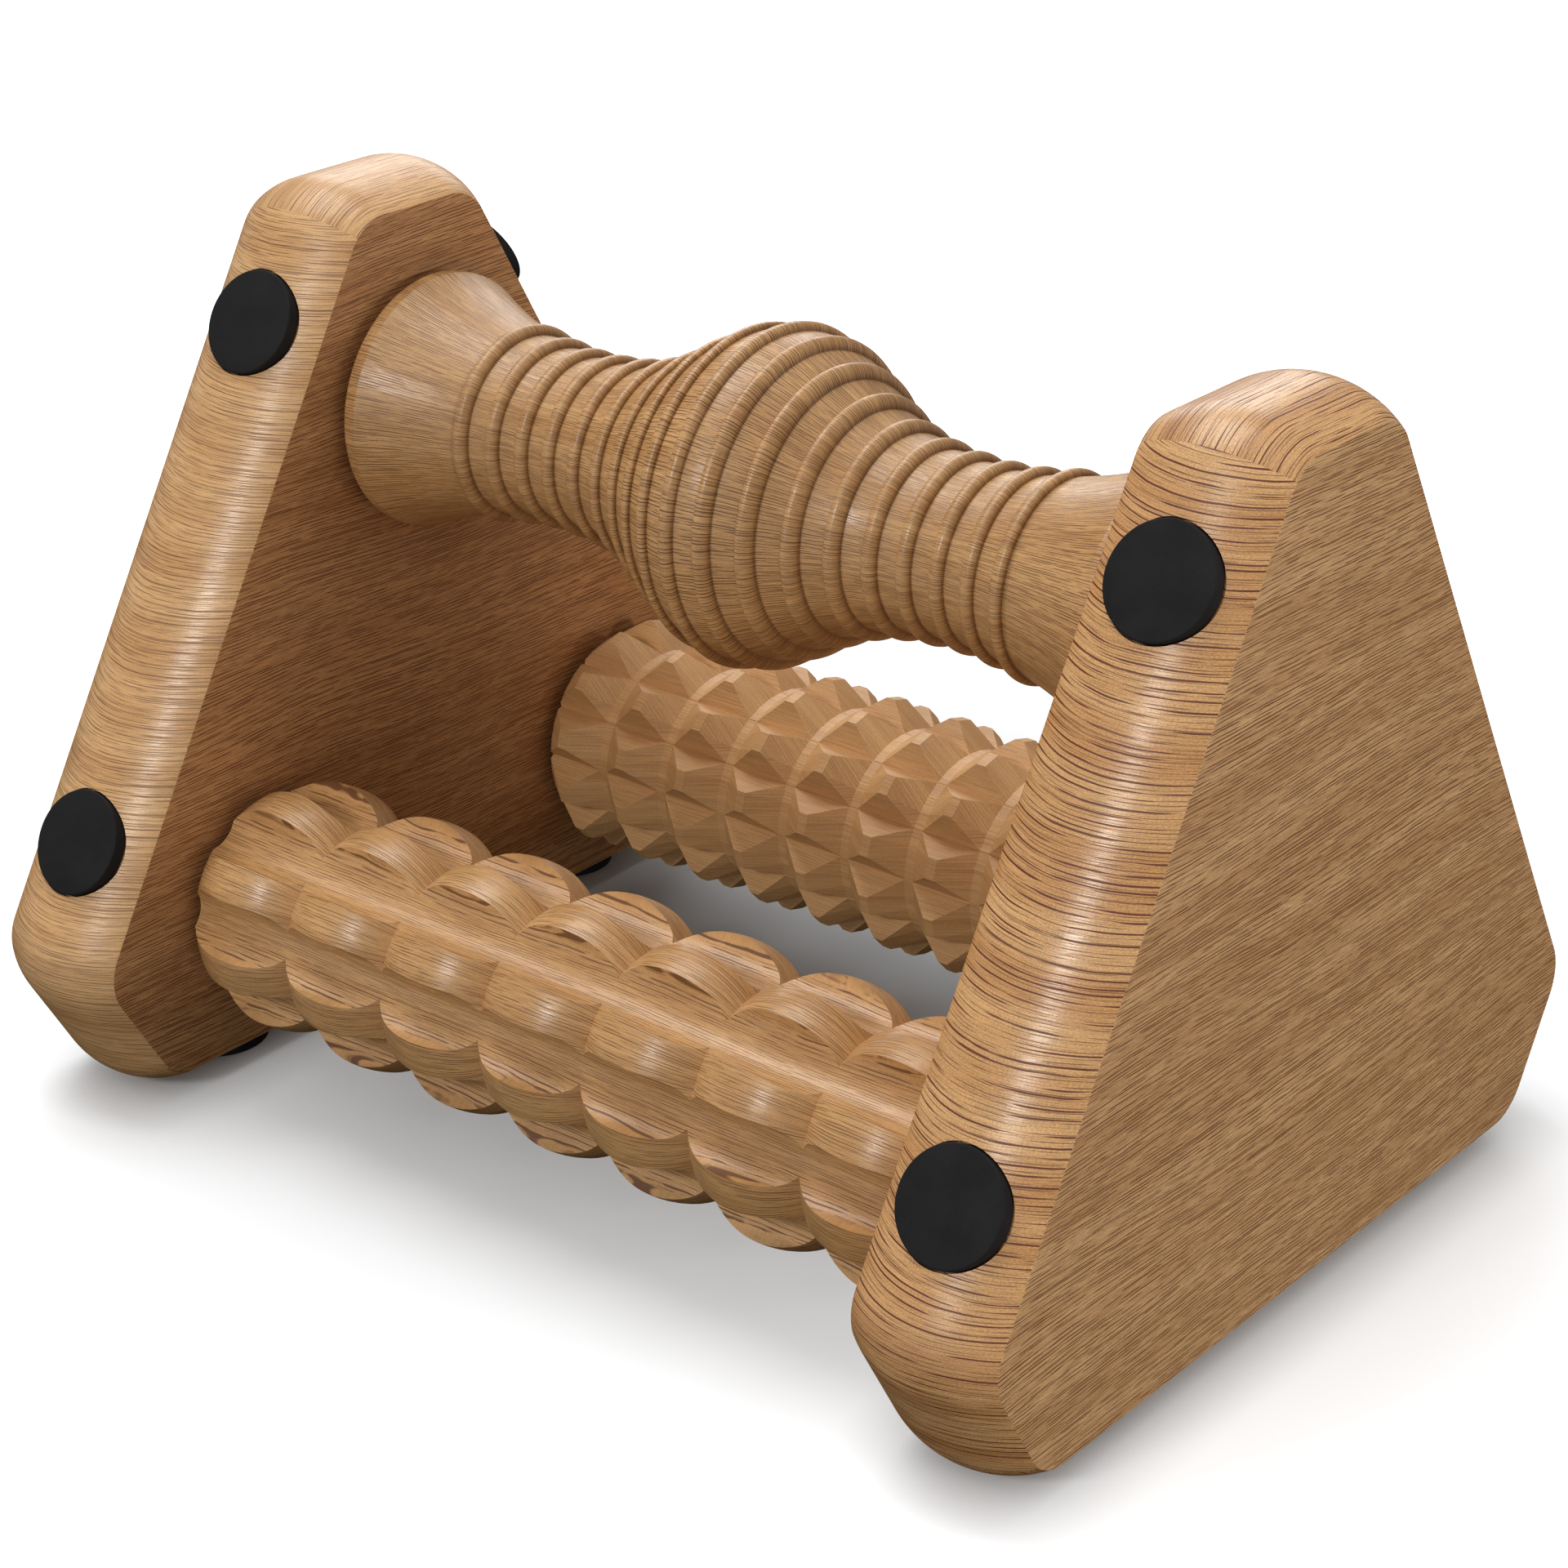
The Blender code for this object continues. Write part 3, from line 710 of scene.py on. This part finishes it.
def look(**changes):
    """The oak's usual style with some changes."""
    usual = {
        "light": srgb(214, 166, 110), "dark": srgb(199, 149, 94), "pore": srgb(102, 58, 24),
        "wave": 5.0, "wave_length": 90.0, "wave_width": 30.0,
        "fibre": 0.12, "speck": 0.08,
        "pore_space": 0.6, "pore_thick": 0.19, "pore_length": 9.0, "pore_gaps": 0.42,
        "pore_depth": 0.88,
        "streak": 0.0, "streak_space": 1.5, "streak_thick": 0.32, "streak_length": 18.0,
        "streak_gaps": 0.45,
        "roughness": 0.24,
    }
    usual.update(changes)
    return usual


def rubber(name):
    """Matt black rubber with a fine moulded grain."""
    nodes = Nodes(name)
    where = nodes.add("TexCoord").outputs["Object"]
    fine = nodes.noise(where, 3.0, 2600.0, "3D")
    soft = nodes.noise(where, 2.0, 130.0, "3D")
    colour = nodes.mix(nodes.ramp(soft, 0.3, 0.7), srgb(31, 30, 31), srgb(27, 26, 27))
    bump = nodes.add("Bump", {"Strength": 0.25, "Distance": 0.03 * MM, "Height": fine})
    rough = nodes.ramp(nodes.maths("ADD", fine, soft), 0.6, 1.4, 0.62, 0.78)
    nodes.fill(nodes.shader, {"Base Color": colour, "Roughness": rough, "Normal": bump.outputs[0],
                              "Specular IOR Level": 0.2})
    return nodes.material


def steel(name):
    """Ground steel with fine turning marks around X."""
    nodes = Nodes(name)
    split = nodes.add("SeparateXYZ", {0: nodes.add("TexCoord").outputs["Object"]})
    marks = nodes.noise(nodes.point(split.outputs[0], 0.0), 3.0, 6000.0)
    stain = nodes.noise(nodes.add("TexCoord").outputs["Object"], 3.0, 160.0, "3D")
    colour = nodes.mix(nodes.ramp(stain, 0.3, 0.7), srgb(196, 197, 200), srgb(168, 168, 170))
    rough = nodes.ramp(nodes.maths("ADD", marks, stain), 0.5, 1.5, 0.2, 0.42)
    bump = nodes.add("Bump", {"Strength": 0.3, "Distance": 0.02 * MM, "Height": marks})
    nodes.fill(nodes.shader, {"Base Color": colour, "Roughness": rough, "Normal": bump.outputs[0],
                              "Metallic": 1.0})
    return nodes.material


def nylon(name):
    """Black moulded plastic with a faint uneven sheen."""
    nodes = Nodes(name)
    where = nodes.add("TexCoord").outputs["Object"]
    flow = nodes.noise(where, 3.0, 420.0, "3D")
    colour = nodes.mix(nodes.ramp(flow, 0.3, 0.7), srgb(34, 34, 35), srgb(26, 26, 27))
    bump = nodes.add("Bump", {"Strength": 0.2, "Distance": 0.02 * MM, "Height": flow})
    rough = nodes.ramp(flow, 0.25, 0.75, 0.42, 0.55)
    nodes.fill(nodes.shader, {"Base Color": colour, "Roughness": rough, "Normal": bump.outputs[0]})
    return nodes.material


# ---------------------------------------------------------------- pieces

def surface(thing, smooth, *finishes):
    """Give a piece its materials, and shade its faces smooth where they meet at less than an angle."""
    thing.data.materials.clear()
    for finish in finishes:
        thing.data.materials.append(finish)
    thing.data.shade_smooth()
    thing.data.set_sharp_from_angle(angle=smooth)


def join_frame(thing, node, body):
    """Let a piece stand for a node of the frame, on the body it moves with."""
    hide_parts(node)
    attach(thing, body)


def make_panels():
    grain = {"pore": srgb(112, 60, 28), "wave": 9.0, "wave_length": 120.0, "wave_width": 45.0,
             "pore_space": 0.66, "pore_thick": 0.26, "pore_depth": 0.9}
    # same grain on both panels; the left faces get darker colours as painted shade, the right faces lighter
    # ones as painted light
    face = {"left": look(light=srgb(216, 162, 108), dark=srgb(200, 145, 93), **grain),
            "right": look(light=srgb(233, 184, 130), dark=srgb(217, 166, 114), **grain)}
    edge = {"left": look(light=srgb(228, 180, 124), dark=srgb(213, 162, 106),
                         streak=0.5, streak_gaps=0.5, pore_depth=0.72),
            "right": look(light=srgb(226, 175, 118), dark=srgb(208, 152, 96), speck=0.18,
                          streak=0.95, streak_space=1.35, pore_space=0.8, pore_depth=0.75)}
    shifts = {"left": 2300.0, "right": 0.0}
    for side_name, side in SIDES.items():
        thing = panel(side_name + "_panel_wood", side)
        axis, counts = panel_grain(thing.data, shifts[side_name])
        flat = oak(f"oak_{side_name}_faces", face[side_name])
        rim = oak(f"oak_{side_name}_edge", edge[side_name])
        surface(thing, SMOOTH_ANGLE, flat, rim)
        starts = np.cumsum(counts) - counts
        thing.data.polygons.foreach_set("material_index", (axis[starts] != 0).astype(np.int32))
        join_frame(thing, side_name + "_panel", "root")


def make_feet(finish):
    for side_name, side in SIDES.items():
        for place, words in FOOT_PLACES.items():
            for along_side, word in words.items():
                node = f"foot_{side_name}_{place}_{word}"
                thing = foot(node + "_rubber", side, place, along_side)
                surface(thing, SMOOTH_ANGLE, finish)
                join_frame(thing, node, "root")


def make_rollers():
    """The three rollers, each with its own stretch of grain.

    It is wrapped round the top and front rollers at about their mean radius, and laid flat on the rear one.
    """
    top = roller("top_roller_wood", "top", top_profile(), ROUND_STEPS, 0.0)
    wrapped_grain(top.data, 700.0, axle_point("top"), 22.0 * MM, ringed=True)
    fine_oak = look(fibre=0.14, wave=2.0, pore_space=0.46, pore_length=7.0)
    surface(top, SMOOTH_ANGLE, oak("oak_top_roller", fine_oak))
    join_frame(top, "top_roller", "top_roller")

    front_steps = STEPS_PER_FLUTE * FLUTE_COUNT
    front = roller("front_roller_wood", "front", bead_profile(), front_steps, FLUTE_TURN)
    cut_with(front, flutes())
    wrapped_grain(front.data, 5100.0, axle_point("front"), 23.0 * MM)
    surface(front, SMOOTH_ANGLE, oak("oak_front_roller", look(wave=3.0)))
    join_frame(front, "front_roller", "front_roller")

    rear_steps = STEPS_PER_STUD * STUDS_AROUND
    rear = roller("rear_roller_wood", "rear", stud_profile(), rear_steps, STUD_TURN)
    cut_with(rear, grooves())
    roller_grain(rear.data, 8300.0, axle_point("rear"))
    plain_oak = look(wave=2.0, pore_depth=0.35, pore_thick=0.14, roughness=0.42)
    surface(rear, FACET_ANGLE, oak("oak_rear_roller", plain_oak))
    join_frame(rear, "rear_roller", "rear_roller")


def make_bearings():
    axle_steel = steel("axle_steel")
    washer_steel = steel("washer_steel")
    bush_nylon = nylon("bush_nylon")
    for place in AXLE_ANGLES:
        rod = axle(f"{place}_axle_steel", place)
        surface(rod, SMOOTH_ANGLE, axle_steel)
        join_frame(rod, f"{place}_axle", "root")
        for side_name, side in SIDES.items():
            liner = bush(f"{place}_bush_{side_name}_nylon", place, side)
            surface(liner, SMOOTH_ANGLE, bush_nylon)
            join_frame(liner, f"{place}_bush_{side_name}", f"{place}_roller")
            ring = washer(f"{place}_washer_{side_name}_steel", place, side)
            surface(ring, SMOOTH_ANGLE, washer_steel)
            join_frame(ring, f"{place}_washer_{side_name}", "root")


# ---------------------------------------------------------------- studio

# Brightness at the sine of each height above the horizon: all round, and from the front alone.
DOME = ((-0.05, 0.0), (-0.02, 1.0), (0.015, 1.0), (0.05, 0.1), (0.5, 0.26), (0.99, 0.55))
FRONT_BOUNCE = ((-0.7, 0.0), (-0.4, 0.5), (-0.06, 0.5), (-0.02, 0.0), (0.99, 0.0))

# The floor glows, a painted light that rises with the distance from its darkest place, so a painted shadow
# lies there; within a short reach of an object it glows less, a painted contact shadow.
FLOOR_DARKEST = (-0.04, 0.05, 0.0)
FLOOR_CONTACT = 0.014
FLOOR_GLOW_START = 0.05
FLOOR_GLOW_END = 0.285
FLOOR_DROP = 0.1 * MM           # the floor lies this far under the feet
FLOOR_SIZE = 20.0
STUDIO_MIDDLE = (0.0, 0.0, 0.08)

CAMERA_LENS = 84.844            # millimetres, as is the sensor's width
CAMERA_SENSOR = 36.0
CAMERA_PLACE = (0.40541, -0.49236, 0.36643)
CAMERA_TURN = (1.133477, 0.000305, 0.686803)

# Each area light: direction from the middle of the studio, distance, size and power.
LIGHTS = {
    "front_softbox": ((-0.011, -0.88, 0.473), 1.6, 0.26, 6.6),
    "right_softbox": ((1.0, 0.1, 0.1), 1.6, 0.5, 8.6),
    "back_softbox": ((-0.4, 0.49, 0.33), 1.8, 1.0, 9.5),
    "ceiling_softbox": ((-0.38, 0.0, 0.92), 1.6, 1.0, 13.0),
}


def make_floor():
    """A white floor, white partly through a painted glow that leaves painted shadow round the pieces; it
    sends no light back to them: the world's front bounce stands for that.
    """
    shape = bmesh.new()
    bmesh.ops.create_grid(shape, x_segments=1, y_segments=1, size=FLOOR_SIZE)
    floor = mesh_object("floor", shape)
    floor.location.z = -FLOOR_DROP
    nodes = Nodes("floor_painted_glow")
    place = nodes.add("TexCoord").outputs["Object"]
    away = nodes.add("VectorMath", {0: place, 1: FLOOR_DARKEST}, operation="DISTANCE")
    glow = nodes.add("MapRange", {"Value": away.outputs["Value"], "From Min": FLOOR_GLOW_START,
                                  "From Max": FLOOR_GLOW_END})
    # painted contact shadow: the glow fades out close to any object
    open_sky = nodes.add("AmbientOcclusion", {"Distance": FLOOR_CONTACT}, samples=8)
    glow = nodes.maths("MULTIPLY", glow.outputs[0], open_sky.outputs["AO"])
    nodes.fill(nodes.shader, {"Base Color": (0.66, 0.67, 0.68, 1.0), "Roughness": 0.9,
                              "Specular IOR Level": 0.0, "Emission Color": (1.0, 1.0, 1.0, 1.0),
                              "Emission Strength": glow})
    floor.data.materials.append(nodes.material)
    floor.visible_diffuse = False
    floor.visible_glossy = False


def area_light(name, toward_light, distance, size, power):
    """A square light that faces the middle of the studio."""
    light = bpy.data.lights.new(name, "AREA")
    light.shape = "SQUARE"
    light.size = size
    light.energy = power
    thing = bpy.data.objects.new(name, light)
    direction = Vector(toward_light).normalized()
    thing.location = Vector(STUDIO_MIDDLE) + direction * distance
    thing.rotation_euler = direction.to_track_quat("Z", "Y").to_euler()
    bpy.context.scene.collection.objects.link(thing)


def sky_ramp(tree, height, stops):
    """Brightness as a function of height, -1 to 1, given as (height, brightness) stops."""
    share = tree.nodes.new("ShaderNodeMapRange")
    share.inputs["From Min"].default_value = -1.0
    ramp = tree.nodes.new("ShaderNodeValToRGB")
    tree.links.new(height, share.inputs["Value"])
    tree.links.new(share.outputs[0], ramp.inputs[0])
    for up, bright in stops:
        stop = ramp.color_ramp.elements.new((up + 1) / 2)
        stop.color = (bright, bright, bright, 1.0)
    ramp.color_ramp.elements.remove(ramp.color_ramp.elements[0])
    ramp.color_ramp.elements.remove(ramp.color_ramp.elements[-1])
    return ramp.outputs[0]


def make_world():
    """A dome of light with a thin white band at the horizon, above which it brightens towards the top.

    Below the band only the front is lit, as light sent back up by the floor.
    """
    world = bpy.data.worlds.new("studio")
    bpy.context.scene.world = world
    world.use_nodes = True
    tree = world.node_tree
    direction = tree.nodes.new("ShaderNodeTexCoord")
    split = tree.nodes.new("ShaderNodeSeparateXYZ")
    front = tree.nodes.new("ShaderNodeMapRange")
    front.inputs["From Min"].default_value = 0.1
    front.inputs["From Max"].default_value = -0.8
    total = tree.nodes.new("ShaderNodeMix")
    total.data_type = "RGBA"
    total.blend_type = "ADD"
    tree.links.new(direction.outputs["Generated"], split.inputs[0])
    tree.links.new(split.outputs[1], front.inputs["Value"])
    tree.links.new(front.outputs[0], total.inputs[0])
    tree.links.new(sky_ramp(tree, split.outputs[2], DOME), total.inputs[6])
    tree.links.new(sky_ramp(tree, split.outputs[2], FRONT_BOUNCE), total.inputs[7])
    tree.links.new(total.outputs[2], tree.nodes["Background"].inputs["Color"])


def make_camera():
    camera = bpy.data.cameras.new("camera")
    camera.lens = CAMERA_LENS
    camera.sensor_width = CAMERA_SENSOR
    camera.clip_start = 0.02
    camera.clip_end = 100.0
    thing = bpy.data.objects.new("camera", camera)
    thing.location = CAMERA_PLACE
    thing.rotation_euler = CAMERA_TURN
    bpy.context.scene.collection.objects.link(thing)
    bpy.context.scene.camera = thing


def make_studio():
    make_floor()
    make_world()
    for name, (toward_light, distance, size, power) in LIGHTS.items():
        area_light(name, toward_light, distance, size, power)
    bpy.context.scene.view_settings.view_transform = "Standard"
    make_camera()


make_panels()
make_feet(rubber("foot_rubber"))
make_rollers()
make_bearings()
make_studio()
